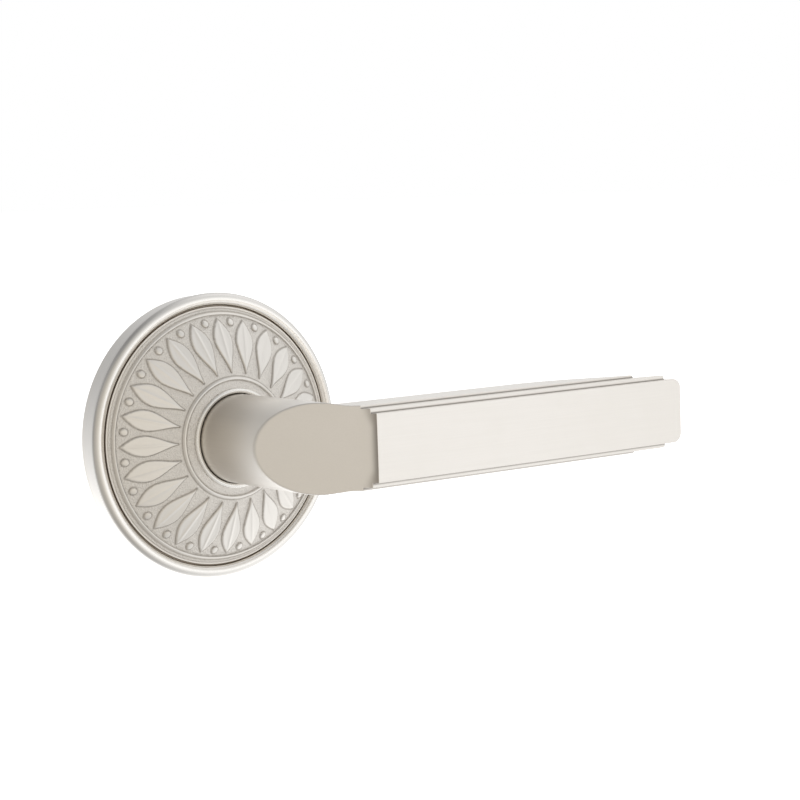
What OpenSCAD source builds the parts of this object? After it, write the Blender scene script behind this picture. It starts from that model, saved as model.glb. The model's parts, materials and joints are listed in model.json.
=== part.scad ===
// Lever handle lockset, one side's trim: a stepped lever on a domed round rosette,
// with the sprung mechanism behind it.
// Frame: origin on the spindle axis at the door face, +X along the lever, +Z up,
// -Y out of the door towards the user. Millimetres.

/* [Lever] */
// Distance from the spindle axis to the lever's tip
lever_len = 103.6; // [98:0.1:110]
// Distance from the door face to the lever's front face
lever_proj = 58.1; // [57.5:0.1:60]
// Distance from the door face to the flat back of the grip
grip_back = 46.0; // [45:0.1:47]
// Height of the grip's front step
step1_w = 15.85; // [14:0.05:16.5]
// Height of the grip's middle step
step2_w = 18.05; // [17:0.05:18.6]
// Full height of the grip
step3_w = 19.4; // [19:0.05:20.4]
// Set back of the middle step from the front face
step2_back = 1.25; // [0.8:0.05:1.6]
// Set back of the full-height step from the front face
step3_back = 3.0; // [2.4:0.05:3.4]
// Diameter of the neck
neck_d = 21.06; // [20.9:0.01:21.08]
// Angle of the flat cut across the elbow
elbow_angle = 45; // [44:0.5:46]
// Distance from the door face at which that cut starts
elbow_start = 37.7; // [37.5:0.05:38]
// Radius of the hollow between the elbow cut and the edge of the front face
cove_r = 4.3; // [3.5:0.1:5]
// Height of the front face's edge over the plane of the elbow cut
cove_rise = 0.6; // [0.4:0.05:0.8]
// Radius inside the bend of the elbow
bend_r = 6; // [4:0.5:7]
// Corner radius at the tip, seen from the front
tip_r = 2.5; // [1:0.1:3.5]

/* [Spindle] */
// Width across the flats of the square spindle
spindle_w = 7.9; // [7.7:0.05:7.95]
// Width across the flats of the square sockets
socket_w = 8.1; // [8:0.05:8.2]
// Reach of the spindle behind the door face
spindle_back = 34; // [26:1:38]
// Reach of the spindle into the lever
spindle_front = 34.5; // [30:0.5:35]

/* [Rosette] */
// Radius of the rosette's wall at the door
rose_r = 33.5; // [33.2:0.1:33.6]
// Greatest radius of the rosette, at its rim bead
rim_r = 34.2; // [34:0.05:34.4]
// Radius of the bead's round section
bead_r = 1.5; // [1.3:0.05:1.6]
// Height of the domed field at its edge
field_h = 6.3; // [6:0.1:6.6]
// Height of the domed field at the collar
dome_h = 14.6; // [14:0.1:14.7]
// Bulge of the dome over a straight cone
dome_sag = 0.5; // [0.3:0.05:0.9]
// Thickness of the rosette's sheet
sheet_t = 1.6; // [1.2:0.1:1.8]
// Height of the collar's top edge
collar_h = 15.7; // [15.7:0.1:16]
// Outer radius of the collar
collar_r = 11.85; // [11.8:0.05:12]

/* [Mechanism] */
// Turn of the lever each way
turn = 50; // [35:1:52]
// Spacing of the two through bolts
bolt_spacing = 38; // [38:0.5:40]
// Diameter of the through bolts
bolt_d = 4; // [3.5:0.1:4.2]
// Reach of the through bolts behind the door face
bolt_back = 30; // [20:1:34]
// Radius of the spring housing, which goes into the door's 54 mm cross bore
housing_r = 24.5; // [24:0.1:26]
// Depth of the spring housing behind the door face
housing_h = 9.5; // [9.5:0.1:10]
// Wire diameter of the return spring
wire_d = 1.3; // [1:0.05:1.4]
// Turns of the return spring
coil_turns = 3; // [2:1:3]
// Running clearance on the radius, neck and rotor
run_gap = 0.07; // [0.03:0.01:0.09]

/* [Hidden] */
$fn = 96;
// facets of screws, pins and small holes
small_fn = 48;
// gap between pieces that rest on each other
gap = 0.02;

// Names ending in _depth are distances behind the door face.
neck_r = neck_d / 2;
neck_end = 0.7;
lever_screw_h = 24;
pin_hole_depth = 12.95;
spindle_pin_r = 1.25;

// rosette and plate
wall_in = 31;
collar_gap = 0.12;
rose_screw_h = 2.4;
rose_screw_r = 1.6;
rose_hole_r = 1.65;
plate_r = 30.7;
plate_t = 2;
hub_bore_r = 12.2;
hub_h = 10.5;
washer_t = 0.8;
// offset of the four housing screws from the axis, in x and in y
screw_offset = 14.5;

// rotor in its housing
chamber_r = 14.6;
floor_depth = 8;
ear_floor_depth = 2.2;
ear_r = 16.6;
ear_half = 14;
tab_half = 10;
rear_bore_r = 8.6;
journal_r = 7.4;
journal_depth = 11.4;
bushing_depth = 7.42;
clip_depth = 10.25;
clip_t = 0.8;

// stop pins: place, radius, and angle from the rotor's ears at rest
stop_ring_r = 15.6;
stop_r = 1.5;
stop_angle = ear_half + turn + asin(stop_r / stop_ring_r) + 0.5;

// ---- Helpers. Inside outward(), x runs along the lever, y up and z out of the door.

module outward() rotate([90, 0, 0]) children();

// turns z to point down, starting at a height over the door face
module downward(height) translate([0, 0, height]) rotate([90, 0, 0]) children();

module rod(r, z0, z1) translate([0, 0, z0]) cylinder(r = r, h = z1 - z0);

module cone(r0, r1, z0, z1) translate([0, 0, z0]) cylinder(r1 = r0, r2 = r1, h = z1 - z0);

module ring(r_in, r_out, z0, z1) difference() {
    rod(r_out, z0, z1);
    rod(r_in, z0 - 1, z1 + 1);
}

module square_rod(width, z0, z1)
    translate([-width / 2, -width / 2, z0]) cube([width, width, z1 - z0]);

// part of a ring, from angle mid-half to mid+half
module sector(r_in, r_out, mid, half, z0, z1) rotate([0, 0, mid]) intersection() {
    ring(r_in, r_out, z0, z1);
    translate([0, 0, z0 - 1]) linear_extrude(height = z1 - z0 + 2)
        polygon(r_out * [[0, 0], [2 * cos(half), -2 * sin(half)], [3.2, 0],
                         [2 * cos(half), 2 * sin(half)]]);
}

// six-sided recess, by its width across the flats
module hex_recess(flats, z0, z1)
    translate([0, 0, z0]) cylinder(r = flats / sqrt(3), h = z1 - z0, $fn = 6);

module cross_slot(length, width, z0, height) for (angle = [0, 90])
    rotate([0, 0, angle]) translate([-length / 2, -width / 2, z0]) cube([length, width, height]);

module at_bolts() for (side = [-1, 1]) translate([0, side * bolt_spacing / 2, 0]) children();

module at_housing_screws() for (x = [-1, 1], y = [-1, 1])
    translate([x * screw_offset, y * screw_offset, 0]) children();

module at_stops() for (angle = [stop_angle, 180 - stop_angle, 180 + stop_angle, -stop_angle])
    rotate([0, 0, angle]) translate([stop_ring_r, 0, 0]) children();

// ---- Lever. Its side views are drawn with x along the lever and y out of the door.

// elbow cut: starts on the neck's side away from the grip and ends in a hollow
// that meets the front face in an edge
cut_dir = [cos(elbow_angle), sin(elbow_angle)];
cut_out = [-sin(elbow_angle), cos(elbow_angle)];
front_edge = -neck_r
    + ((lever_proj - elbow_start) * cos(elbow_angle) - cove_rise) / sin(elbow_angle);
cove_run = sqrt(2 * cove_r * cove_rise - cove_rise * cove_rise);
cove_center = [front_edge, lever_proj] + (cove_r - cove_rise) * cut_out - cove_run * cut_dir;
cove_start = cove_center - cove_r * cut_out;

// scoop in the back near the tip, and the convex arc that leads into it
scoop_r = 75;
scoop_center = [lever_len + 5.6, lever_proj - 75.7];
lead_r = 45;
lead_h = grip_back + lead_r - 0.02;
lead_run = sqrt(pow(scoop_r + lead_r - 0.05, 2) - pow(lead_h - scoop_center[1], 2));
lead_center = [scoop_center[0] - lead_run, lead_h];
lead_end = scoop_center + (lead_center - scoop_center) * scoop_r / (scoop_r + lead_r);

// side view of the grip before its front is cut
module grip_profile() difference() {
    translate([-3, grip_back]) square([lever_len + 3, lever_proj - grip_back + 2]);
    translate(scoop_center) circle(r = scoop_r, $fn = 360);
    difference() {
        translate([lead_center[0], grip_back - 1])
            square([lead_end[0] - lead_center[0], lead_end[1] - grip_back + 1]);
        translate(lead_center) circle(r = lead_r, $fn = 240);
    }
}

// everything in front of the lever's front face and of the cut across the elbow
module front_cut() {
    polygon([cove_start - 30 * cut_dir, cove_start, cove_center,
             [cove_center[0], lever_proj + 20], [-50, lever_proj + 20]]);
    translate(cove_center - 0.03 * cut_out) circle(r = cove_r);
    translate([cove_center[0], lever_proj]) square([lever_len + 5 - cove_center[0], 20]);
}

// everything in front of a step set back from the front face
module step_cut(set_back)
    translate([-20, lever_proj - set_back]) square([lever_len + 25, 20 + set_back]);

// extrudes a side view from height y0 to y1
module across(y0, y1)
    translate([0, y1, 0]) rotate([90, 0, 0]) linear_extrude(height = y1 - y0) children();

// round inside of the bend, a quarter of a torus
module bend() {
    section_r = step3_w / 2 - 0.25;
    inset = 0.15;
    translate([neck_r + bend_r, 0, grip_back - bend_r]) rotate([90, 0, 0]) rotate([0, 0, 90])
        rotate_extrude(angle = 90)
            translate([bend_r + inset + section_r, 0]) circle(r = section_r);
}

// what is cut off one of the tip's corners; side is 1 for the upper, -1 for the lower
module tip_corner(side)
    translate([lever_len - tip_r, side * (step1_w / 2 - tip_r), 0]) difference() {
        translate([0, side > 0 ? 0 : -tip_r - 3, 50]) cube([tip_r + 1, tip_r + 3, 12]);
        rod(tip_r, 49, 63);
    }

module lever_handle() color([0.78, 0.75, 0.71]) outward() difference() {
    union() {
        across(-step3_w / 2, step3_w / 2) grip_profile();
        rod(neck_r, neck_end, lever_proj + 1);
        bend();
    }
    across(-20, 20) front_cut();
    // each step cut: height it leaves standing, set back
    for (side = [-1, 1], step = [[step1_w, step2_back], [step2_w, step3_back]])
        across(side > 0 ? step[0] / 2 : -20, side > 0 ? 20 : -step[0] / 2) step_cut(step[1]);
    square_rod(socket_w, 0, 36);
    downward(lever_screw_h) rod(2.15, 0, neck_r + 2, $fn = small_fn);
    for (side = [-1, 1]) tip_corner(side);
}

module lever_set_screw() color([0.25, 0.25, 0.26]) outward() downward(lever_screw_h) {
    screw_r = 2.1;
    point_end = 4.7;
    difference() {
        union() {
            rod(screw_r, point_end, point_end + 5, $fn = small_fn);
            cone(1.4, screw_r, spindle_w / 2 + gap, point_end, $fn = small_fn);
        }
        hex_recess(2.5, 7.2, 12);
    }
}

// ---- Spindle

module spindle() color([0.62, 0.62, 0.62]) outward() {
    // round envelope that trims the square's edges, tapered over the last 1 mm
    trim_r = spindle_w * 0.72;
    difference() {
        intersection() {
            square_rod(spindle_w, -spindle_back, spindle_front);
            union() {
                rod(trim_r, -spindle_back + 1, spindle_front - 1);
                cone(trim_r, trim_r - 1, spindle_front - 1, spindle_front);
                cone(trim_r - 1, trim_r, -spindle_back, -spindle_back + 1);
            }
        }
        downward(-pin_hole_depth)
            cylinder(r = spindle_pin_r + 0.01, h = 20, center = true, $fn = small_fn);
    }
}

module spindle_pin() color([0.5, 0.5, 0.5]) outward() downward(-pin_hole_depth)
    cylinder(r = spindle_pin_r, h = 13, center = true, $fn = small_fn);

// ---- Rotor and what holds it

module spring_rotor() color([0.66, 0.64, 0.58]) outward() difference() {
    union() {
        // flange with two ears
        rod(13.9, -2, -0.2);
        for (mid = [0, 180]) sector(13, ear_r, mid, ear_half, -2, -0.2);
        // body and rear journal
        rod(9, -7.3, -1);
        rod(journal_r, -journal_depth, -7);
        // tab between the spring's legs
        sector(11.9, 13, 90, tab_half, -7.4, -1.5);
    }
    square_rod(socket_w, -20, 1);
    // circlip groove
    ring(6.6, 12, -clip_depth - clip_t - 0.05, -clip_depth + 0.03);
}

// washer curved about a vertical axis in front of it
module wave_washer() color([0.6, 0.6, 0.62]) outward() {
    curve_r = 110;
    outer_r = curve_r + 0.3;
    intersection() {
        ring(7.2, 10.3, -1, 2);
        downward(outer_r - 0.13) difference() {
            cylinder(r = outer_r, h = 30, center = true, $fn = 720);
            cylinder(r = curve_r, h = 32, center = true, $fn = 720);
        }
    }
}

module thrust_washer() color([0.85, 0.83, 0.78]) outward()
    ring(journal_r + 0.1, 10.6, -clip_depth + gap, -housing_h - gap);

// open at the bottom, with an eyed lug on each side of the opening
module rotor_circlip() color([0.2, 0.2, 0.21]) outward() {
    lug_angles = [-117, -63];
    open_half = 19;
    translate([0, 0, -clip_depth - clip_t]) linear_extrude(height = clip_t) difference() {
        union() {
            circle(r = 8.7);
            for (angle = lug_angles)
                rotate(angle) translate([8.6, 0]) circle(r = 1.7, $fn = small_fn);
        }
        circle(r = 6.65);
        polygon(20 * [[0, 0], [-sin(open_half), -cos(open_half)],
                      [sin(open_half), -cos(open_half)]]);
        for (angle = lug_angles)
            rotate(angle) translate([8.8, 0]) circle(r = 0.75, $fn = small_fn);
    }
}

// ---- Rosette and collar, drawn as [radius, height] and swept round the axis

// the dome is one arc from its edge to its top; dome_in points from the arc to its centre
dome_edge = [rim_r - 2 * bead_r - 0.1, field_h];
dome_top = [12.6, dome_h];
dome_chord = norm(dome_top - dome_edge);
dome_r = (dome_chord * dome_chord / 4 + dome_sag * dome_sag) / (2 * dome_sag);
dome_in = [dome_edge[1] - dome_top[1], dome_top[0] - dome_edge[0]] / dome_chord;
dome_center = (dome_edge + dome_top) / 2 + dome_in * (dome_r - dome_sag);

module rosette() color([0.78, 0.75, 0.70]) outward() {
    bead_center = [rim_r - bead_r, field_h - 0.4];
    difference() {
        rotate_extrude() union() {
            // domed field
            difference() {
                intersection() {
                    translate(dome_center) circle(r = dome_r, $fn = 360);
                    translate([collar_r - 0.2, 0]) square([wall_in + 0.6 - collar_r, 20]);
                }
                translate(dome_center) circle(r = dome_r - sheet_t, $fn = 360);
            }
            // wall and rim bead
            polygon([[wall_in, 0], [rose_r, 0], [rose_r, bead_center[1]], bead_center,
                     dome_edge, [wall_in, 4.3]]);
            translate(bead_center) circle(r = bead_r);
        }
        downward(rose_screw_h) rod(rose_hole_r, 28, 36, $fn = small_fn);
    }
}

module rosette_collar() color([0.8, 0.77, 0.72]) outward() {
    inner_r = neck_r + collar_gap;
    width = collar_r - inner_r;
    // height at which the flange sits on the dome
    seat_h = dome_center[1] + sqrt(dome_r * dome_r - pow(collar_r - dome_center[0], 2)) + 0.06;
    rotate_extrude() difference() {
        union() {
            translate([inner_r, 11.6]) square([width - 0.25, 3.2]);
            translate([inner_r, seat_h]) square([width, collar_h - width / 2 - seat_h]);
            translate([inner_r + width / 2, collar_h - width / 2]) circle(r = width / 2);
        }
        // seat for the sheet's edge
        translate([collar_r - 0.24, 0]) square([3, seat_h]);
    }
}

module rosette_set_screw() color([0.25, 0.25, 0.26]) outward() downward(rose_screw_h)
    difference() {
        rod(rose_screw_r, 28.9, 33.1, $fn = small_fn);
        hex_recess(2, 31.1, 36);
    }

// ---- Plate, housing and bushings

module mounting_plate() color([0.72, 0.72, 0.68]) outward() {
    hole_r = 1.6;
    sink_r = 3.1;
    difference() {
        union() {
            rod(plate_r, 0, plate_t);
            ring(28.9, plate_r, 0, 4.1);
            rod(13.6, 0, hub_h);
        }
        rod(hub_bore_r, -1, 12);
        at_bolts() rod(bolt_d / 2 + 0.3, -1, 4, $fn = small_fn);
        // countersunk holes
        at_housing_screws() {
            rod(hole_r, -1, 4, $fn = small_fn);
            cone(hole_r, sink_r, plate_t - 1.5, plate_t, $fn = small_fn);
            rod(sink_r, plate_t - 0.01, plate_t + 0.99, $fn = small_fn);
        }
        downward(rose_screw_h) rod(rose_hole_r, 28, 32, $fn = small_fn);
    }
}

module neck_bushing() color([0.92, 0.91, 0.86]) outward() union() {
    ring(neck_r + run_gap, hub_bore_r - gap, 0.3, 11);
    ring(neck_r + run_gap, 13.5, hub_h + gap, 11.2);
}

module spring_housing() color([0.66, 0.66, 0.64]) outward() {
    tab_in = chamber_r - 1.4;
    slot_r = bolt_d / 2 + 0.6;
    difference() {
        rod(housing_r, -housing_h, 0);
        // spring chamber, with a tab left standing at the top
        rod(tab_in, -floor_depth, 1);
        difference() {
            rod(chamber_r, -floor_depth, 1);
            sector(tab_in, chamber_r + 1, 90, tab_half, -floor_depth - 1, -ear_floor_depth);
        }
        rod(rear_bore_r, -housing_h - 1, 1);
        // room for the rotor's ears
        for (mid = [0, 180]) sector(10, 17.1, mid, stop_angle - 2, -ear_floor_depth, 1);
        at_stops() rod(stop_r + 0.01, -6.2, 1.8, $fn = small_fn);
        // clearance for the through bolts, open towards the rim
        for (side = [-1, 1]) translate([0, side * bolt_spacing / 2, 0]) {
            rod(slot_r, -20, 10, $fn = small_fn);
            translate([-slot_r, side > 0 ? 0 : -10, -20]) cube([2 * slot_r, 10, 30]);
        }
        at_housing_screws() rod(1.52, -8, 2, $fn = small_fn);
        // weight-saving pockets in the back
        for (mid = [0, 180]) sector(18.4, housing_r - 1.5, mid, 24, -housing_h - 1, -3.5);
    }
}

module rear_bushing() color([0.80, 0.62, 0.32]) outward() union() {
    ring(journal_r + run_gap, rear_bore_r - gap, -housing_h + gap, -bushing_depth);
    ring(journal_r + run_gap, 9.5, -floor_depth + gap, -bushing_depth);
}

module stop_pins() color([0.55, 0.55, 0.56]) outward() at_stops() {
    rod(stop_r, -6.1, -0.5, $fn = small_fn);
    cone(stop_r, stop_r - 0.4, -0.5, -0.1, $fn = small_fn);
}

// ---- Return spring: a wire swept along leg in, coil, leg out

coil_r = 10.45;
coil_top = -3;
coil_bottom = -7.15;
coil_pitch = (coil_top - coil_bottom) / coil_turns;
// points per turn of the coil, and sides of the wire
coil_steps = 32;
wire_sides = 10;
// the legs stand this angle to each side of the top, between these radii
leg_angle = 13.5;
leg_in = 11.6;
leg_out = 14.2;

function polar(r, angle, z) = [r * cos(angle), r * sin(angle), z];
function coil_point(i) =
    let (turns = i / coil_steps,
         angle = 90 + leg_angle + turns * (360 - 2 * leg_angle / coil_turns))
    polar(coil_r, angle, coil_top - turns * coil_pitch);

wire_path = concat(
    [for (r = [leg_out, leg_in]) polar(r, 90 + leg_angle, coil_top)],
    [for (i = [1 : coil_steps * coil_turns - 1]) coil_point(i)],
    [for (r = [leg_in, leg_out]) polar(r, 90 - leg_angle, coil_bottom)]);

function unit(v) = v / norm(v);
function path_dir(i) =
    unit(wire_path[min(i + 1, len(wire_path) - 1)] - wire_path[max(i - 1, 0)]);
// the wire's section at path point i
function wire_ring(i) =
    let (along = path_dir(i), side = unit(cross(along, [0, 0, 1])), up = cross(along, side))
    [for (k = [0 : wire_sides - 1])
        let (angle = k * 360 / wire_sides)
        wire_path[i] + wire_d / 2 * (cos(angle) * side + sin(angle) * up)];
// index of the section point k, wrapped round, at path point i
function wire_index(i, k) = i * wire_sides + k % wire_sides;

module return_spring() color([0.35, 0.35, 0.37]) outward() {
    last = len(wire_path) - 1;
    polyhedron(
        points = [for (i = [0 : last]) each wire_ring(i)],
        faces = concat(
            [[for (k = [0 : wire_sides - 1]) k]],
            [for (i = [0 : last - 1], k = [0 : wire_sides - 1])
                [wire_index(i, k), wire_index(i + 1, k),
                 wire_index(i + 1, k + 1), wire_index(i, k + 1)]],
            [[for (k = [wire_sides - 1 : -1 : 0]) wire_index(last, k)]]));
}

// ---- Fasteners

module housing_screws() color([0.7, 0.7, 0.66]) outward() at_housing_screws() difference() {
    union() {
        rod(1.5, -7.5, 1);
        cone(1.5, 2.9, plate_t - 1.4, plate_t, $fn = small_fn);
    }
    cross_slot(3.4, 0.7, 1, 2);
}

module through_bolts() color([0.7, 0.7, 0.66]) outward() at_bolts() {
    head_r = 4;
    head_edge = plate_t + 2.4;
    tip_taper = 0.6;
    difference() {
        union() {
            // plain shank through the trim, then the thread behind the housing
            rod(0.44 * bolt_d, -housing_h - 1, 3);
            rod(bolt_d / 2, -bolt_back + tip_taper, -housing_h - 0.4);
            cone(bolt_d / 2 - tip_taper, bolt_d / 2, -bolt_back, -bolt_back + tip_taper);
            rod(head_r, plate_t + washer_t + gap, head_edge);
            cone(head_r, head_r - 1, head_edge, head_edge + 0.9);
        }
        cross_slot(4.2, 1, plate_t + 1.7, 3);
    }
}

// split washers
module bolt_washers() color([0.6, 0.6, 0.6]) outward() at_bolts() difference() {
    ring(bolt_d / 2 + 0.1, 3.6, plate_t + gap, plate_t + washer_t);
    rotate([0, 0, 30]) translate([0, -0.3, 0]) cube([6, 0.6, 6]);
}

lever_handle();
lever_set_screw();
spindle();
spindle_pin();
spring_rotor();
wave_washer();
thrust_washer();
rotor_circlip();
rosette();
rosette_collar();
rosette_set_screw();
mounting_plate();
neck_bushing();
spring_housing();
rear_bushing();
stop_pins();
return_spring();
housing_screws();
through_bolts();
bolt_washers();
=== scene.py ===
import json
import math

import bpy
import numpy as np
from mathutils import Vector, Matrix

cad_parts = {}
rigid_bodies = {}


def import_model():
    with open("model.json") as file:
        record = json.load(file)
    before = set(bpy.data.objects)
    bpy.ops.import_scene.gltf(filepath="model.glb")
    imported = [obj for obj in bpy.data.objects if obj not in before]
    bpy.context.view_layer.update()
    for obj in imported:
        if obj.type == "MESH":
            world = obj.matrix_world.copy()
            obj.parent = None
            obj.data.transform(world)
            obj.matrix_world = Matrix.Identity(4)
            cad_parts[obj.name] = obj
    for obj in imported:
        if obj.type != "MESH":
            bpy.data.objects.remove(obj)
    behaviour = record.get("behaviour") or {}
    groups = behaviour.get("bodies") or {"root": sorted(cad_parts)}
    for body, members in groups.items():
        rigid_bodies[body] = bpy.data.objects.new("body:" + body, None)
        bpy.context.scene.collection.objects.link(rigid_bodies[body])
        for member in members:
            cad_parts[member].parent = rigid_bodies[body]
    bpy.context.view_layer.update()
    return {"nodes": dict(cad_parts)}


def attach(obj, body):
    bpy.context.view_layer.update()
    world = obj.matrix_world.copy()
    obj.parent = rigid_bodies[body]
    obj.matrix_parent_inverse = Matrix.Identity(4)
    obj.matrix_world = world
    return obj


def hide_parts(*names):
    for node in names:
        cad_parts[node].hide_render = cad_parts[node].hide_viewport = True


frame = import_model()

MM = 0.001


# ---------------------------------------------------------------- small helpers
def smooth(a, b, x):
    t = np.clip((x - a) / (b - a), 0, 1)
    return t * t * (3 - 2 * t)


def rint(a, b, r):
    """Intersection of two distance fields with a round of radius r along the edge."""
    return np.minimum(np.maximum(a, b), -r) + np.hypot(np.maximum(a + r, 0), np.maximum(b + r, 0))


def runi(a, b, r):
    """Union with a fillet of radius r."""
    return np.maximum(np.minimum(a, b), r) - np.hypot(np.maximum(r - a, 0), np.maximum(r - b, 0))


def lines(*parts):
    """Grid lines from (start, end, step) spans."""
    out = []
    for a, b, s in parts:
        n = max(1, int(round((b - a) / s)))
        out.append(np.linspace(a, b, n + 1))
    return np.unique(np.round(np.concatenate(out), 5))


def gradient(fn, p, eps=0.004):
    g = np.empty_like(p)
    for i in range(3):
        d = np.zeros(3)
        d[i] = eps
        a, b = p + d, p - d
        g[:, i] = (fn(a[:, 0], a[:, 1], a[:, 2]) - fn(b[:, 0], b[:, 1], b[:, 2])) / (2 * eps)
    return g


def surface_net(fn, xs, zs, hs):
    """Closed quad mesh of fn = 0 on a grid whose lines are close together where the shape has small radii."""
    X, Z, H = np.meshgrid(xs, zs, hs, indexing="ij")
    F = fn(X, Z, H)
    F = np.where(np.abs(F) < 1e-7, 1e-7, F)
    ins = F < 0
    grid = (xs, zs, hs)
    total = sum(ins[i:i + len(xs) - 1, j:j + len(zs) - 1, k:k + len(hs) - 1].astype(np.int8)
                for i in (0, 1) for j in (0, 1) for k in (0, 1))
    active = (total > 0) & (total < 8)
    cells = np.argwhere(active)
    idx = np.full(active.shape, -1, np.int64)
    idx[tuple(cells.T)] = np.arange(len(cells))
    acc, cnt = np.zeros((len(cells), 3)), np.zeros(len(cells))
    corners = [(i, j, k) for i in (0, 1) for j in (0, 1) for k in (0, 1)]
    for a in corners:
        for axis in range(3):
            if a[axis]:
                continue
            b = list(a)
            b[axis] = 1
            ca, cb = cells + np.array(a), cells + np.array(b)
            fa, fb = F[tuple(ca.T)], F[tuple(cb.T)]
            m = (fa < 0) != (fb < 0)
            t = fa[m] / (fa[m] - fb[m])
            pa = np.stack([grid[i][ca[m, i]] for i in range(3)], 1)
            pb = np.stack([grid[i][cb[m, i]] for i in range(3)], 1)
            acc[m] += pa + (pb - pa) * t[:, None]
            cnt[m] += 1
    verts = acc / cnt[:, None]
    faces = []
    for axis in range(3):
        u, v = (axis + 1) % 3, (axis + 2) % 3
        lo = [slice(None)] * 3
        hi = [slice(None)] * 3
        lo[axis], hi[axis] = slice(0, -1), slice(1, None)
        change = ins[tuple(lo)] != ins[tuple(hi)]
        e = np.argwhere(change)
        ok = (e[:, u] > 0) & (e[:, v] > 0) & (e[:, u] < len(grid[u]) - 1) & (e[:, v] < len(grid[v]) - 1)
        e = e[ok]
        out = ins[tuple(lo)][tuple(e.T)]
        quad = []
        for du, dv in ((-1, -1), (0, -1), (0, 0), (-1, 0)):
            c = e.copy()
            c[:, u] += du
            c[:, v] += dv
            quad.append(idx[tuple(c.T)])
        quad = np.stack(quad, 1)
        quad[~out] = quad[~out][:, ::-1]
        faces.append(quad)
    faces = np.concatenate(faces)
    for _ in range(5):
        f = fn(verts[:, 0], verts[:, 1], verts[:, 2])
        g = gradient(fn, verts)
        step = (f / np.maximum((g * g).sum(1), 0.2))[:, None] * g
        size = np.linalg.norm(step, axis=1, keepdims=True)
        verts = verts - step * np.minimum(1, 0.4 / np.maximum(size, 1e-9))
    n = gradient(fn, verts)
    n /= np.maximum(np.linalg.norm(n, axis=1, keepdims=True), 1e-9)
    return verts, faces, n


def to_world(p):
    """(x, z, h) in millimetres to the row frame in metres."""
    p = np.asarray(p, float)
    return np.stack([p[:, 0], -p[:, 2], p[:, 1]], 1) * MM


def dir_world(n):
    return np.stack([n[:, 0], -n[:, 2], n[:, 1]], 1)


def mesh_object(name, verts, faces, normals=None, smooth_faces=True):
    me = bpy.data.meshes.new(name)
    faces = [tuple(int(i) for i in f) for f in faces] if not isinstance(faces, np.ndarray) else faces.tolist()
    me.from_pydata(np.asarray(verts).tolist(), [], faces)
    me.update()
    me.polygons.foreach_set("use_smooth", [smooth_faces] * len(me.polygons))
    if normals is not None:
        me.normals_split_custom_set_from_vertices(np.asarray(normals).tolist())
    o = bpy.data.objects.new(name, me)
    bpy.context.scene.collection.objects.link(o)
    return o


# ---------------------------------------------------------------- the lever
L_TIP, F1, BACK = 103.6, 58.1, 46.0
W1, W2, W3 = 15.85, 18.05, 19.4
F2, F3 = F1 - 1.25, F1 - 3.0
NR = 10.53
EA = math.radians(45)
SIN, COS = math.sin(EA), math.cos(EA)
ELBOW_H, TIP_R, COVE_D = 37.7, 2.5, 0.6
EDGE_X = -NR + ((F1 - ELBOW_H) * COS - COVE_D) / SIN
LEAD_R, SCOOP_R = 45.0, 75.0
SCX, SCH = L_TIP + 5.6, F1 - 75.7
LCH = BACK + LEAD_R
LCX = SCX - math.sqrt((SCOOP_R + LEAD_R) ** 2 - (LCH - SCH) ** 2)


def elbow(x, z, h):
    """Outside the flat cut across the elbow and the hollow that lifts it to the front face's edge."""
    r = 4.3 + 14 * smooth(4.5, 9.7, np.abs(z))
    along = np.sqrt(2 * r * COVE_D - COVE_D ** 2)
    cx = EDGE_X - (r - COVE_D) * SIN - along * COS
    ch = F1 + (r - COVE_D) * COS - along * SIN
    plane = -(x + NR) * SIN + (h - ELBOW_H) * COS
    past = (x - cx) * COS + (h - ch) * SIN > 0
    return np.where(past & (h < ch), r - np.hypot(x - cx, h - ch), np.minimum(plane, cx + r - x))


def grip_back(x, h):
    flat = BACK - h
    lead = np.hypot(x - LCX, h - LCH) - LEAD_R
    scoop = SCOOP_R - np.hypot(x - SCX, h - SCH)
    side = (SCX - LCX) * (h - LCH) - (SCH - LCH) * (x - LCX)
    return np.where(x < LCX, flat, np.where(side < 0, lead, scoop))


def lever_field(x, z, h):
    az = np.abs(z)
    q = np.hypot(x, z) - NR
    rb = 1.3 - 1.05 * smooth(62, 90, x)
    slab = rint(grip_back(x, h), az - W3 / 2, rb)
    slab = rint(slab, x - L_TIP, 0.25)
    rf = np.maximum(0.6, 6.0 * np.sqrt(np.clip(1 - (az / 9.75) ** 2, 0, 1)))
    body = runi(q, slab, rf)
    s = elbow(x, z, h)
    rc = 0.14 * smooth(-0.2, -1.2, s)
    p1 = rint(rint(h - F1, s, 0.12), rint(az - W1 / 2, x - L_TIP, TIP_R), 0.2)
    p2 = rint(rint(h - F2, s, 0.12), az - W2 / 2, 0.2)
    p3 = rint(h - F3, s, 0.12)
    env = runi(runi(p1, p2, rc), p3, rc)
    re = 0.22 + 0.13 * (1 - smooth(-3, 6, x))
    out = rint(env, body, re)
    sock = np.maximum(np.maximum(np.abs(x), az) - 4.05, h - 36)
    out = rint(out, -sock, 0.15)
    hole = np.maximum(np.hypot(x, h - 24) - 2.15, z)
    out = rint(out, -hole, 0.18)
    return rint(out, 0.7 - h, 0.3)


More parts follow.
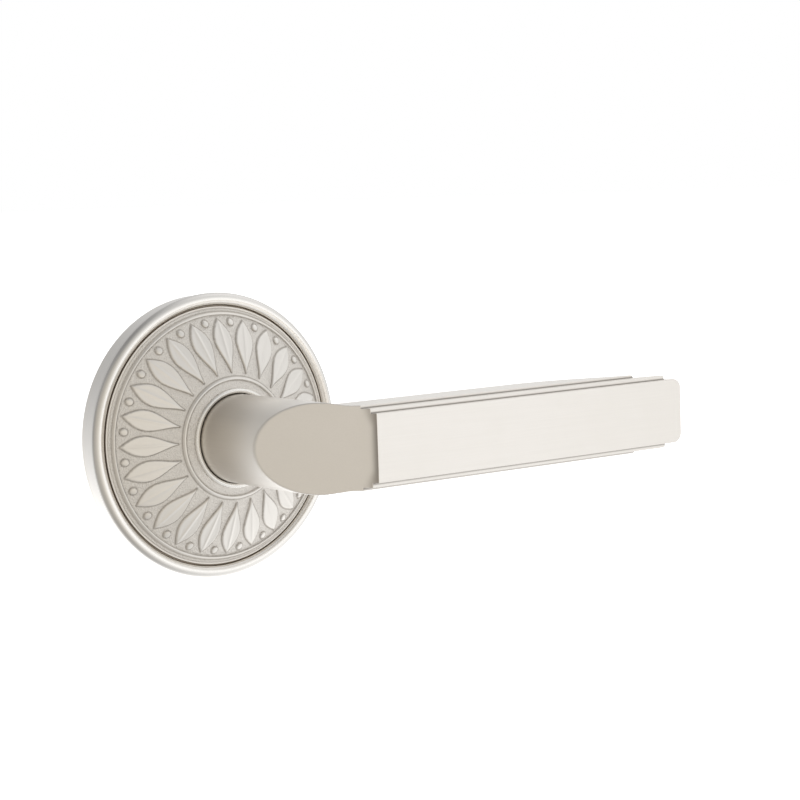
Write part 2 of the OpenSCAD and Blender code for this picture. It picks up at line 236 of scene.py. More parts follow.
def build_lever():
    xs = lines((-11.1, -4.3, 0.34), (-4.3, -3.8, 0.1), (-3.8, 3.8, 0.34), (3.8, 4.3, 0.1), (4.3, 6.4, 0.26), (6.4, 6.9, 0.1),
               (6.9, 8.2, 0.22), (8.2, 9.3, 0.1), (9.3, 12.3, 0.27),
               (12.3, 17.5, 0.65), (17.5, 57, 2.6), (57, 86, 1.5), (86, 100.8, 0.6), (100.8, 103.2, 0.25),
               (103.2, 103.8, 0.1))
    half = lines((0.475, 3.8, 0.83), (3.8, 4.3, 0.1), (4.3, 5.3, 0.5), (5.3, 7.5, 0.32), (7.5, 10.0, 0.125), (10.0, 10.9, 0.225))
    zs = np.concatenate([-half[::-1], half])
    hs = lines((0.3, 1.2, 0.13), (1.2, 21.6, 2.04), (21.6, 26.4, 0.3), (26.4, 35.6, 1.55), (35.6, 36.4, 0.16),
               (36.4, 45.8, 0.4), (45.8, 47.8, 0.25), (47.8, 54.7, 0.4), (54.7, 58.3, 0.125))
    v, f, n = surface_net(lever_field, xs, zs, hs)
    o = mesh_object("lever", to_world(v), f, dir_world(n))
    print("lever", len(v), "verts", 2 * len(f), "triangles")
    return o


# ---------------------------------------------------------------- the rosette
BEAD_C, BEAD_H, BEAD_T = 32.69, 5.9, 1.49
DA, DB, SAG = (31.1, 6.3), (12.6, 14.6), 0.5
DC = math.hypot(DB[0] - DA[0], DB[1] - DA[1])
DR = (DC * DC / 4 + SAG * SAG) / (2 * SAG)
DN = ((DA[1] - DB[1]) / DC, (DA[0] - DB[0]) / DC)
DX = (DA[0] + DB[0]) / 2 + DN[0] * (DR - SAG)
DH = (DA[1] + DB[1]) / 2 - DN[1] * (DR - SAG)
THETA0 = 0.0
SHEET = 1.6


def dome(r, offset=0.0):
    return DH + np.sqrt(np.maximum((DR + offset) ** 2 - (r - DX) ** 2, 0))


def inside(q, poly):
    """Signed distance to a closed outline, negative inside."""
    x, y = q[:, 0], q[:, 1]
    odd = np.zeros(len(q), bool)
    best = np.full(len(q), 1e9)
    for a, b in zip(poly, np.roll(poly, -1, 0)):
        ab = b - a
        t = np.clip(((q - a) @ ab) / max(ab @ ab, 1e-12), 0, 1)
        best = np.minimum(best, np.linalg.norm(q - a - t[:, None] * ab, axis=1))
        if abs(ab[1]) > 1e-12:
            odd ^= ((a[1] > y) != (b[1] > y)) & (x < a[0] + (y - a[1]) / ab[1] * ab[0])
    return np.where(odd, -best, best)


PETALS = 24


def teardrop(r0, r1, width, n=22):
    """A plain petal between two radii, widest towards its outer end."""
    t = np.linspace(0, 1, n)
    half = width / 2 * np.sin(np.pi * t ** 1.4)
    x = r0 + (r1 - r0) * t
    return np.vstack([np.stack([x, half], 1), np.stack([x, -half], 1)[-2:0:-1]])


PETAL = teardrop(15.6, 28.0, 4.6)


def relief(phi, r, want_crevice=False):
    """Height over the dome of a wreath of equal petals with a dot between each two, bounded by two fine rings."""
    psi = np.radians(np.mod(phi + 180.0 / PETALS, 360.0 / PETALS) - 180.0 / PETALS)
    q = np.stack([r * np.cos(psi), r * np.sin(psi)], 1)
    gap = math.pi / PETALS
    dots = [np.hypot(q[:, 0] - 27.3 * math.cos(gap), q[:, 1] - side * 27.3 * math.sin(gap)) - 0.75 for side in (-1, 1)]
    parts = [inside(q, PETAL), np.minimum(*dots), np.abs(r - 29.3) - 0.25, np.abs(r - 14.2) - 0.3]
    d = parts[0]
    for p in parts[1:]:
        k = 0.18
        m = np.clip(0.5 + 0.5 * (d - p) / k, 0, 1)
        d = d * (1 - m) + p * m - k * m * (1 - m)
    # with want_crevice, a mask of painted shade just outside the raised lines
    if want_crevice:
        return np.exp(-((d - 0.17) / 0.15) ** 2)
    wall = 1 - smooth(-0.10, 0.18, d)
    crown = np.sqrt(np.clip(-d / 0.7, 0, 1))
    # each petal is dished towards its edge, with a raised rib
    petal = np.clip(-inside(q, PETAL) / 0.9, 0, 1)
    rib = np.exp(-(q[:, 1] / 0.35) ** 2)
    return 0.44 * wall + 0.10 * crown * wall + petal * (0.12 * rib - 0.12)


N_ANG = 864


def build_rosette():
    half = N_ANG // 12
    phis = np.linspace(0, 30, half + 1)
    fold = np.concatenate([np.arange(half), np.arange(half, 0, -1)])          # one 60 degree motif
    fold = np.tile(fold, 6)
    ang = np.radians(THETA0 + np.arange(N_ANG) * 360 / N_ANG)

    rings = []          # (radius array, height array, angular step, mask of relief)
    def flat_ring(r, h, step=1, mask=0.0, kind="plain"):
        rings.append((np.full(N_ANG // step, r), np.full(N_ANG // step, h), step, np.full(N_ANG // step, mask), kind))

    # bead and wall, from the foot of the wall outwards
    profile = [(31.0, 0.0, 4), (31.12, 0.0, 4), (33.3, 0.0, 4), (33.44, 0.06, 4), (33.5, 0.2, 4), (33.56, 1.2, 4), (33.78, 3.0, 4), (34.02, 4.6, 2)]
    for r, h, s in profile:
        flat_ring(r, h, s)
    for a in np.linspace(-9, 182, 24):
        flat_ring(BEAD_C + BEAD_T * math.cos(math.radians(a)), BEAD_H + BEAD_T * math.sin(math.radians(a)), 2)
    for r, h in ((31.15, 5.80), (31.08, 5.72), (31.0, 5.78)):
        flat_ring(r, h, 2)
    lip = dome(30.7)
    for r, h in ((30.95, lip - 0.25), (30.93, lip)):
        flat_ring(r, h, 1)
    for a in np.linspace(25, 155, 5):
        flat_ring(30.72 + 0.2 * math.cos(math.radians(a)), lip + 0.2 * math.sin(math.radians(a)), 1, 0.8)
    crevice = {}
    field = np.concatenate([np.linspace(30.46, 28.9, 8), np.linspace(28.7, 13.0, 76)])
    for r in field:
        z = relief(phis, np.full(half + 1, r))
        edge = smooth(30.4, 30.0, r) * smooth(12.9, 13.3, r)
        h = dome(r) + z[fold] * edge
        rings.append((np.full(N_ANG, r), h, 1, np.clip(z[fold] / 0.42, 0, 1) * edge, "field"))
        crevice[len(rings) - 1] = relief(phis, np.full(half + 1, r), True)[fold] * edge
    flat_ring(12.35, float(dome(12.35)), 2)
    flat_ring(11.78, float(dome(11.78)), 2)
    flat_ring(11.67, float(dome(11.78)) - 0.12, 4)
    flat_ring(11.65, float(dome(11.78)) - 0.5, 4)
    under = lambda r: float(dome(r, -SHEET))
    flat_ring(11.65, under(11.65) + 0.1, 4)
    for r in (11.75, 14, 17, 20, 23, 26, 28.5, 30.2):
        flat_ring(r, under(r), 4)
    flat_ring(30.9, under(30.95) - 0.15, 4)
    flat_ring(31.0, 4.2, 4)

    verts, masks, starts, normals = [], [], [], []
    n0 = 0
    eps_r, eps_p = 0.03, 0.06
    for i, (r, h, s, m, kind) in enumerate(rings):
        a = ang[::s]
        verts.append(np.stack([r * np.cos(a), r * np.sin(a), h], 1))
        masks.append(m)
        starts.append(n0)
        n0 += len(a)
        if kind == "field":
            rr = r[0]
            edge = smooth(30.4, 30.0, rr) * smooth(12.9, 13.3, rr)
            dr = (relief(phis, np.full(half + 1, rr + eps_r)) - relief(phis, np.full(half + 1, rr - eps_r))) / (2 * eps_r)
            dp = (relief(phis + eps_p, np.full(half + 1, rr)) - relief(phis - eps_p, np.full(half + 1, rr))) / (2 * math.radians(eps_p) * rr)
            dp[0] = dp[-1] = 0
            sign = np.where(np.arange(N_ANG) % (2 * half) < half, 1, -1)
            slope = (dome(rr + eps_r) - dome(rr - eps_r)) / (2 * eps_r)
            gr, gp = dr[fold] * edge + slope, dp[fold] * edge * sign
            nx = -gr * np.cos(ang) + gp * np.sin(ang)
            nz = -gr * np.sin(ang) - gp * np.cos(ang)
            n = np.stack([nx, nz, np.ones(N_ANG)], 1)
            normals.append(n / np.linalg.norm(n, axis=1, keepdims=True))
        else:
            normals.append(None)
    verts = np.concatenate(verts)
    masks = np.concatenate(masks)
    # painted shade just outside the raised lines, as a point attribute
    stipple_dirt_and_crevice_shade = np.concatenate([crevice.get(i, np.zeros(len(ring[0]))) for i, ring in enumerate(rings)])
    # profile normals of the plain rings, from their neighbours along the profile
    count = len(rings)
    for i in range(count):
        if normals[i] is None:
            (ra, ha), (rb, hb) = ((rings[j][0][0], rings[j][1].mean()) for j in ((i - 1) % count, (i + 1) % count))
            t = np.array([rb - ra, hb - ha])
            t /= np.linalg.norm(t)
            nr, nh = t[1], -t[0]
            a = ang[::rings[i][2]]
            normals[i] = np.stack([nr * np.cos(a), nr * np.sin(a), np.full(len(a), nh)], 1)
    faces = []
    for i in range(count):
        j = (i + 1) % count
        si, sj = rings[i][2], rings[j][2]
        ni, nj = N_ANG // si, N_ANG // sj
        bi, bj = starts[i], starts[j]
        if ni == nj:
            k = np.arange(ni)
            k2 = (k + 1) % ni
            faces += np.stack([bi + k, bj + k, bj + k2, bi + k2], 1).tolist()
        elif ni < nj:
            m = nj // ni
            for k in range(ni):
                faces.append([bi + k] + [bj + (k * m + t) % nj for t in range(m + 1)] + [bi + (k + 1) % ni])
        else:
            m = ni // nj
            for k in range(nj):
                faces.append([bj + (k + 1) % nj] + [bi + (k * m + t) % ni for t in range(m, -1, -1)] + [bj + k])
    normals = np.concatenate(normals)
    faces = [f[::-1] for f in faces]
    o = mesh_object("rose", to_world(verts), faces, None)
    me = o.data
    at = me.attributes.new("relief", "FLOAT", "POINT")
    at.data.foreach_set("value", masks.astype(np.float32))
    at = me.attributes.new("crevice", "FLOAT", "POINT")
    at.data.foreach_set("value", stipple_dirt_and_crevice_shade.astype(np.float32))
    at = me.attributes.new("rest_normal", "FLOAT_VECTOR", "POINT")
    at.data.foreach_set("vector", dir_world(normals).astype(np.float32).ravel())
    tri = sum(len(f) - 2 for f in faces)
    print("rose", len(verts), "verts", tri, "triangles")
    return o


def frustum(name, p0, p1, r0, r1, n=48):
    """Closed round cutter or rod between two points in (x, z, h)."""
    p0, p1 = np.array(p0, float), np.array(p1, float)
    d = (p1 - p0) / np.linalg.norm(p1 - p0)
    u = np.cross(d, [1, 0, 0] if abs(d[0]) < 0.9 else [0, 1, 0])
    u /= np.linalg.norm(u)
    w = np.cross(d, u)
    a = np.linspace(0, 2 * math.pi, n, endpoint=False)
    c = np.outer(np.cos(a), u) + np.outer(np.sin(a), w)
    v = np.vstack([p0 + r0 * c, p1 + r1 * c])
    f = [[k, (k + 1) % n, n + (k + 1) % n, n + k] for k in range(n)]
    f += [list(range(n - 1, -1, -1)), list(range(n, 2 * n))]
    return mesh_object(name, to_world(v), f, None, False)


def cut(o, cutter):
    m = o.modifiers.new("cut", "BOOLEAN")
    m.operation = "DIFFERENCE"
    m.solver = "MANIFOLD"
    m.object = cutter
    dg = bpy.context.evaluated_depsgraph_get()
    me = bpy.data.meshes.new_from_object(o.evaluated_get(dg), depsgraph=dg)
    o.modifiers.clear()
    old = o.data
    o.data = me
    me.name = o.name
    bpy.data.meshes.remove(old)
    bpy.data.objects.remove(cutter)


def set_rest_normals(o):
    """Loop normals from the stored profile normals, with faces that aren't part of the profile left flat."""
    me = o.data
    me.update()
    n = np.zeros(len(me.vertices) * 3, np.float32)
    me.attributes["rest_normal"].data.foreach_get("vector", n)
    n = n.reshape(-1, 3)
    size = np.linalg.norm(n, axis=1)
    loops = np.zeros(len(me.loops), np.int32)
    me.loops.foreach_get("vertex_index", loops)
    fn = np.zeros(len(me.polygons) * 3, np.float32)
    me.polygons.foreach_get("normal", fn)
    fn = fn.reshape(-1, 3)
    tot = np.zeros(len(me.polygons), np.int32)
    me.polygons.foreach_get("loop_total", tot)
    per = np.repeat(np.arange(len(me.polygons)), tot)
    ln = n[loops] / np.maximum(size[loops], 1e-6)[:, None]
    good = (size[loops] > 0.5) & ((ln * fn[per]).sum(1) > 0.35)
    ln = np.where(good[:, None], ln, fn[per])
    me.polygons.foreach_set("use_smooth", [True] * len(me.polygons))
    me.normals_split_custom_set(ln.tolist())
    me.attributes.remove(me.attributes["rest_normal"])


# ---------------------------------------------------------------- node materials
class Shader:
    """A small wrapper for building node trees."""

    def __init__(self, name):
        self.m = bpy.data.materials.new(name)
        self.m.use_nodes = True
        self.t = self.m.node_tree
        self.t.nodes.clear()
        self.out = self.t.nodes.new("ShaderNodeOutputMaterial")
        self.bsdf = self.t.nodes.new("ShaderNodeBsdfPrincipled")
        self.t.links.new(self.bsdf.outputs[0], self.out.inputs[0])
        self.coord = self.t.nodes.new("ShaderNodeTexCoord").outputs["Object"]

    def put(self, socket, value):
        if isinstance(value, bpy.types.NodeSocket):
            self.t.links.new(value, socket)
        elif value is not None:
            socket.default_value = value

    def node(self, kind, out=0, props=None, **inputs):
        n = self.t.nodes.new(kind)
        for k, v in (props or {}).items():
            setattr(n, k, v)
        for k, v in inputs.items():
            self.put(n.inputs[int(k[1:])] if k[0] == "_" else n.inputs[k], v)
        return n.outputs[out]

    def math(self, op, a, b=0.5, c=None, clamp=False):
        n = self.t.nodes.new("ShaderNodeMath")
        n.operation, n.use_clamp = op, clamp
        self.put(n.inputs[0], a)
        self.put(n.inputs[1], b)
        if c is not None:
            self.put(n.inputs[2], c)
        return n.outputs[0]

    def vmath(self, op, a, b=(0, 0, 0), out=0):
        n = self.t.nodes.new("ShaderNodeVectorMath")
        n.operation = op
        self.put(n.inputs[0], a)
        self.put(n.inputs[1], b)
        return n.outputs[out]

    def ramp(self, value, lo, hi, a=0.0, b=1.0):
        n = self.t.nodes.new("ShaderNodeMapRange")
        n.interpolation_type = "SMOOTHSTEP"
        for i, v in enumerate((value, lo, hi, a, b)):
            self.put(n.inputs[i], v)
        return n.outputs[0]

    def noise(self, scale, detail=3.0, rough=0.55, vector=None, distort=0.0):
        n = self.t.nodes.new("ShaderNodeTexNoise")
        self.put(n.inputs["Vector"], self.coord if vector is None else vector)
        n.inputs["Scale"].default_value = scale
        n.inputs["Detail"].default_value = detail
        n.inputs["Roughness"].default_value = rough
        n.inputs["Distortion"].default_value = distort
        return n.outputs[0]

    def stretch(self, scale, vector=None):
        """Coordinates scaled per axis, for grain that runs along the axis with the smallest number."""
        return self.vmath("MULTIPLY", self.coord if vector is None else vector, scale)

    def mix(self, fac, a, b):
        n = self.t.nodes.new("ShaderNodeMix")
        n.data_type = "RGBA"
        self.put(n.inputs[0], fac)
        self.put(n.inputs[6], a)
        self.put(n.inputs[7], b)
        return n.outputs[2]

    def lerp(self, fac, a, b):
        n = self.t.nodes.new("ShaderNodeMix")
        n.data_type = "FLOAT"
        self.put(n.inputs[0], fac)
        self.put(n.inputs[2], a)
        self.put(n.inputs[3], b)
        return n.outputs[0]

    def vlerp(self, fac, a, b):
        n = self.t.nodes.new("ShaderNodeMix")
        n.data_type = "VECTOR"
        self.put(n.inputs[0], fac)
        self.put(n.inputs[4], a)
        self.put(n.inputs[5], b)
        return n.outputs[1]

    def axes(self):
        n = self.t.nodes.new("ShaderNodeSeparateXYZ")
        self.put(n.inputs[0], self.coord)
        return n.outputs

    def edges(self, radius_mm, lo=0.002, hi=0.12):
        """1 on convex and concave edges, from how far a rounded normal leans away from the true one."""
        b = self.t.nodes.new("ShaderNodeBevel")
        b.samples = 6
        b.inputs["Radius"].default_value = radius_mm * MM
        g = self.t.nodes.new("ShaderNodeNewGeometry")
        d = self.vmath("DOT_PRODUCT", b.outputs[0], g.outputs["Normal"], 1)
        return self.ramp(self.math("SUBTRACT", 1.0, d), lo, hi)

    def bevel(self, radius_mm):
        b = self.t.nodes.new("ShaderNodeBevel")
        b.samples = 6
        b.inputs["Radius"].default_value = radius_mm * MM
        return b.outputs[0]

    def bump(self, height, depth_mm, strength=1.0, normal=None):
        n = self.t.nodes.new("ShaderNodeBump")
        n.inputs["Strength"].default_value = strength
        n.inputs["Distance"].default_value = depth_mm * MM
        self.put(n.inputs["Height"], height)
        if normal is not None:
            self.put(n.inputs["Normal"], normal)
        return n.outputs[0]

    def set(self, **values):
        for k, v in values.items():
            self.put(self.bsdf.inputs[k.replace("_", " ")], v)
        return self.m


def rgb(c, k=1.0):
    return (c[0] * k, c[1] * k, c[2] * k, 1.0)


NICKEL = (0.800, 0.768, 0.722)


def satin_lever():
    s = Shader("satin_nickel_lever")
    x, y, z = s.axes()[0], s.axes()[1], s.axes()[2]
    # grip brushed along the lever, neck along its own axis
    grip = s.ramp(x, 0.004, 0.011)
    along_x = s.noise(1.0, 4.0, 0.6, s.stretch((38.0, 2600.0, 2600.0)))
    fine_x = s.noise(1.0, 2.0, 0.5, s.stretch((160.0, 9500.0, 9500.0)))
    along_y = s.noise(1.0, 4.0, 0.6, s.stretch((2600.0, 60.0, 2600.0)))
    fine_y = s.noise(1.0, 2.0, 0.5, s.stretch((9500.0, 260.0, 9500.0)))
    streak = s.lerp(grip, along_y, along_x)
    fine = s.lerp(grip, fine_y, fine_x)
    cloud = s.noise(42.0, 3.0, 0.6)
    edge = s.edges(0.5, 0.01, 0.25)
    base = s.mix(s.ramp(cloud, 0.35, 0.7), rgb(NICKEL, 0.985), rgb((NICKEL[0] * 1.01, NICKEL[1] * 1.012, NICKEL[2] * 1.02)))
    base = s.mix(s.ramp(streak, 0.3, 0.75, 0.0, 0.35), base, rgb(NICKEL, 0.95))
    base = s.mix(s.math("MULTIPLY", edge, 0.35), base, rgb((0.86, 0.84, 0.80)))
    # painted shade in the inner corners of the two steps
    az = s.math("ABSOLUTE", z)
    painted_corner_shade = None
    for w, h in ((W1, F2), (W2, F3)):
        dz = s.math("SUBTRACT", az, w / 2 * MM)
        dh = s.math("ADD", y, h * MM)
        dist = s.math("SQRT", s.math("ADD", s.math("MULTIPLY", dz, dz), s.math("MULTIPLY", dh, dh)))
        near = s.ramp(s.math("MULTIPLY", dist, s.ramp(z, -0.001, 0.001, 0.62, 1.1)), 0.00008, 0.00042, 1.0, 0.0)
        painted_corner_shade = near if painted_corner_shade is None else s.math("MAXIMUM", painted_corner_shade, near)
    sx = s.t.nodes.new("ShaderNodeSeparateXYZ")
    s.t.links.new(s.t.nodes.new("ShaderNodeTexCoord").outputs["Normal"], sx.inputs[0])
    painted_corner_shade = s.math("MULTIPLY", painted_corner_shade, s.ramp(sx.outputs[0], -0.6, -0.35))
    base = s.mix(s.math("MULTIPLY", painted_corner_shade, 0.85), base, rgb((0.26, 0.235, 0.21)))
    # painted shade in the hollow at the end of the elbow's flat
    over = s.math("SUBTRACT", s.math("MULTIPLY", y, -COS), s.math("MULTIPLY", x, SIN))
    over = s.math("SUBTRACT", over, (NR * SIN + ELBOW_H * COS) * MM)
    hollow = s.ramp(s.math("SQRT", s.math("MAXIMUM", over, 0.0)), 0.004, 0.0255)
    hollow = s.math("MULTIPLY", hollow, s.ramp(sx.outputs[0], -0.60, -0.70))
    hollow = s.math("MULTIPLY", hollow, s.ramp(x, 0.003, 0.005))
    base = s.mix(s.math("MULTIPLY", hollow, 0.85), base, rgb((0.32, 0.285, 0.25)))
    # painted highlight: the neck lighter just beside the elbow's flat
    side = s.math("MULTIPLY", s.ramp(over, -0.0002, -0.0008), s.ramp(y, -0.024, -0.036))
    side = s.math("MULTIPLY", side, s.ramp(x, 0.004, 0.0))
    base = s.mix(s.math("MULTIPLY", side, 0.85), base, rgb((0.98, 0.965, 0.94)))
    # painted shade on the neck's upper side just above the collar
    painted_collar_shade = s.math("MULTIPLY", s.ramp(y, -0.027, -0.0165), s.ramp(z, -0.003, 0.007))
    base = s.mix(s.math("MULTIPLY", painted_collar_shade, 0.35), base, rgb((0.42, 0.375, 0.32)))
    rough = s.math("ADD", s.math("MULTIPLY", streak, 0.10), 0.31)
    rough = s.math("ADD", rough, s.math("MULTIPLY", s.math("SUBTRACT", cloud, 0.5), 0.05))
    rough = s.math("SUBTRACT", rough, s.math("MULTIPLY", edge, 0.07))
    tangent = s.vlerp(grip, (1.0, 0.0, 0.0), (0.0, 0.0, 1.0))
    t = s.t.nodes.new("ShaderNodeVectorTransform")
    t.vector_type, t.convert_from, t.convert_to = "VECTOR", "OBJECT", "WORLD"
    s.put(t.inputs[0], tangent)
    n = s.bump(streak, 0.012, 0.6)
    n = s.bump(fine, 0.004, 0.45, n)
    return s.set(Base_Color=base, Metallic=1.0, Roughness=rough, Anisotropic=0.35, Tangent=t.outputs[0], Normal=n)


def satin_rose():
    s = Shader("satin_nickel_rose")
    ax = s.axes()
    radius = s.math("SQRT", s.math("ADD", s.math("MULTIPLY", ax[0], ax[0]), s.math("MULTIPLY", ax[2], ax[2])))
    a = s.t.nodes.new("ShaderNodeAttribute")
    a.attribute_name = "relief"
    raised = s.ramp(a.outputs["Fac"], 0.25, 0.9)
    field = s.math("MULTIPLY", s.ramp(radius, 0.03055, 0.0303), s.ramp(ax[1], -0.0058, -0.0064))
    ground = s.math("MULTIPLY", field, s.math("SUBTRACT", 1.0, raised))
    # punched ground between the petals
    v = s.t.nodes.new("ShaderNodeTexVoronoi")
    v.feature = "SMOOTH_F1"
    s.put(v.inputs["Vector"], s.coord)
    v.inputs["Scale"].default_value = 2900.0
    v.inputs["Smoothness"].default_value = 0.55
    grain = s.noise(4200.0, 2.0, 0.6)
    punch = s.math("ADD", s.math("MULTIPLY", v.outputs["Distance"], 0.7), s.math("MULTIPLY", grain, 0.5))
    cloud = s.noise(55.0, 3.0, 0.6)
    fine = s.noise(9000.0, 2.0, 0.5)
    # bead and wall: fine lines that run round
    ang = s.math("ARCTAN2", ax[2], ax[0])
    c = s.t.nodes.new("ShaderNodeCombineXYZ")
    s.put(c.inputs[0], s.math("MULTIPLY", ang, 1.6))
    s.put(c.inputs[1], s.math("MULTIPLY", radius, 2800.0))
    s.put(c.inputs[2], s.math("MULTIPLY", ax[1], 2800.0))
    turned = s.noise(1.0, 4.0, 0.6, c.outputs[0])
    base = s.mix(s.ramp(cloud, 0.3, 0.7), rgb(NICKEL, 0.98), rgb(NICKEL, 1.01))
    # the bead's crest: polished, with lower roughness, and painted lighter as a sheen
    polish_and_painted_sheen = s.math("MULTIPLY", s.ramp(radius, 0.0311, 0.0312), s.ramp(ax[1], -0.0058, -0.0063))
    base = s.mix(s.math("MULTIPLY", polish_and_painted_sheen, 0.8), base, rgb((0.90, 0.88, 0.845)))
    # painted shade: the outer wall and the bead's outer flank darker
    base = s.mix(s.math("MULTIPLY", s.ramp(radius, 0.0329, 0.0339), 0.8), base, rgb((0.59, 0.575, 0.555)))
    stipple_dirt_and_crevice_shade = s.math("MULTIPLY", ground, s.ramp(punch, 0.30, 0.75, 0.35, 0.0))
    base = s.mix(stipple_dirt_and_crevice_shade, base, rgb((0.60, 0.575, 0.545)))
    # painted shade in the fine groove between the bead and the field
    groove = s.math("MULTIPLY", s.ramp(radius, 0.03080, 0.03094), s.ramp(radius, 0.03132, 0.03118))
    groove = s.math("MULTIPLY", groove, s.ramp(ax[1], -0.0067, -0.0063))
    base = s.mix(s.math("MULTIPLY", groove, 0.6), base, rgb((0.42, 0.36, 0.29)))
    # painted highlight: the raised ornament lighter than the ground
    base = s.mix(s.math("MULTIPLY", s.math("MULTIPLY", field, raised), 0.25), base, rgb((0.88, 0.86, 0.82)))
    # painted shade in a thin band just outside the raised ornament
    a = s.t.nodes.new("ShaderNodeAttribute")
    a.attribute_name = "crevice"
    base = s.mix(s.math("MULTIPLY", a.outputs["Fac"], 0.75), base, rgb((0.34, 0.305, 0.265)))
    rough = s.lerp(field, s.math("ADD", s.math("MULTIPLY", turned, 0.10), 0.30), s.lerp(ground, 0.32, 0.50))
    rough = s.math("SUBTRACT", rough, s.math("MULTIPLY", polish_and_painted_sheen, 0.12))
    rough = s.math("ADD", rough, s.math("MULTIPLY", s.math("SUBTRACT", cloud, 0.5), 0.05))
    height = s.math("MULTIPLY", punch, ground)
    n = s.bump(height, 0.20, 1.0)
    n = s.bump(s.lerp(field, turned, fine), 0.005, 0.5, n)
    return s.set(Base_Color=base, Metallic=1.0, Roughness=rough, Normal=n)


def metal(name, color, rough, grain=(0.3, 0.004), cloud=(30, 0.06), wear=None, stretch=None, dark=0.9, bevel=0.12, aniso=0.0, spots=None):
    """Metal with grain of grain[0] mm, slow tone changes, rounded edges and worn, brighter edges."""
    s = Shader(name)
    slow = s.noise(1000.0 / cloud[0], 4.0, 0.6)
    g = s.noise(1.0, 3.0, 0.6, s.stretch(stretch)) if stretch else s.noise(1000.0 / grain[0], 3.0, 0.6)
    edge = s.edges(0.3, 0.01, 0.3)
    base = s.mix(s.ramp(slow, 0.3, 0.7), rgb(color, dark), rgb(color))
    base = s.mix(s.math("MULTIPLY", s.ramp(g, 0.35, 0.75), 0.25), base, rgb(color, dark * 0.9))
    if spots:
        sp = s.ramp(s.noise(1000.0 / spots[1], 2.0, 0.5), 0.62, 0.72)
        base = s.mix(s.math("MULTIPLY", sp, 0.5), base, rgb(spots[0]))
    if wear:
        broken = s.ramp(s.noise(900.0, 3.0, 0.7), 0.30, 0.62)
        base = s.mix(s.math("MULTIPLY", s.math("MULTIPLY", edge, broken), wear[1]), base, rgb(wear[0]))
    r = s.math("ADD", s.math("MULTIPLY", s.math("SUBTRACT", slow, 0.5), 2 * cloud[1]), rough)
    r = s.math("ADD", r, s.math("MULTIPLY", s.math("SUBTRACT", g, 0.5), 0.14))
    r = s.math("SUBTRACT", r, s.math("MULTIPLY", edge, 0.08))
    n = s.bump(g, grain[1], 0.6, s.bevel(bevel))
    return s.set(Base_Color=base, Metallic=1.0, Roughness=r, Normal=n, Anisotropic=aniso)


def black_oxide():
    s = Shader("black_steel")
    slow, g = s.noise(220.0, 3.0, 0.6), s.noise(5200.0, 3.0, 0.6)
    edge = s.edges(0.22, 0.01, 0.25)
    worn = s.math("MULTIPLY", edge, s.ramp(s.noise(2600.0, 3.0, 0.7), 0.35, 0.65))
    base = s.mix(s.ramp(slow, 0.3, 0.7), rgb((0.055, 0.055, 0.06)), rgb((0.10, 0.098, 0.095)))
    base = s.mix(s.math("MULTIPLY", worn, 0.7), base, rgb((0.46, 0.45, 0.44)))
    r = s.math("ADD", s.math("MULTIPLY", g, 0.2), 0.30)
    return s.set(Base_Color=base, Metallic=0.85, Roughness=r, Normal=s.bump(g, 0.006, 0.6, s.bevel(0.08)))


def nylon():
    s = Shader("nylon")
    slow, g = s.noise(90.0, 3.0, 0.6), s.noise(3200.0, 3.0, 0.6)
    base = s.mix(s.ramp(slow, 0.3, 0.7), rgb((0.80, 0.785, 0.72)), rgb((0.86, 0.85, 0.80)))
    base = s.mix(s.math("MULTIPLY", s.edges(0.3), 0.3), base, rgb((0.93, 0.92, 0.90)))
    r = s.math("ADD", s.math("MULTIPLY", g, 0.15), 0.42)
    return s.set(Base_Color=base, Metallic=0.0, Roughness=r, Subsurface_Weight=0.25, Subsurface_Scale=0.002,
                 Normal=s.bump(g, 0.008, 0.5, s.bevel(0.15)))


def die_cast():
    s = Shader("die_cast_zinc")
    slow, g = s.noise(70.0, 4.0, 0.65), s.noise(2300.0, 4.0, 0.7)
    flow = s.noise(1.0, 4.0, 0.6, s.stretch((140.0, 700.0, 260.0)), 0.6)
    edge = s.edges(0.4, 0.01, 0.3)
    base = s.mix(s.ramp(slow, 0.3, 0.7), rgb((0.52, 0.52, 0.515)), rgb((0.64, 0.64, 0.63)))
    base = s.mix(s.ramp(flow, 0.45, 0.7, 0.0, 0.3), base, rgb((0.44, 0.445, 0.45)))
    base = s.mix(s.math("MULTIPLY", edge, 0.5), base, rgb((0.78, 0.78, 0.77)))
    r = s.math("ADD", s.math("MULTIPLY", g, 0.22), 0.36)
    r = s.math("SUBTRACT", r, s.math("MULTIPLY", edge, 0.1))
    n = s.bump(g, 0.02, 0.6, s.bevel(0.25))
    n = s.bump(flow, 0.03, 0.4, n)
    return s.set(Base_Color=base, Metallic=0.9, Roughness=r, Normal=n)


def give(node, material):
    o = frame["nodes"][node]
    o.data.materials.clear()
    o.data.materials.append(material)
    o.data.polygons.foreach_set("material_index", [0] * len(o.data.polygons))


lever = build_lever()
lever.data.materials.append(satin_lever())
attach(lever, "lever")
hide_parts("lever_handle")

rose = build_rosette()
cut(rose, frustum("rose_cutter", (0, -28, 2.4), (0, -36, 2.4), 1.65, 1.65))
set_rest_normals(rose)
rose.data.materials.clear()
rose.data.materials.append(satin_rose())
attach(rose, "rose")
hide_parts("rosette")

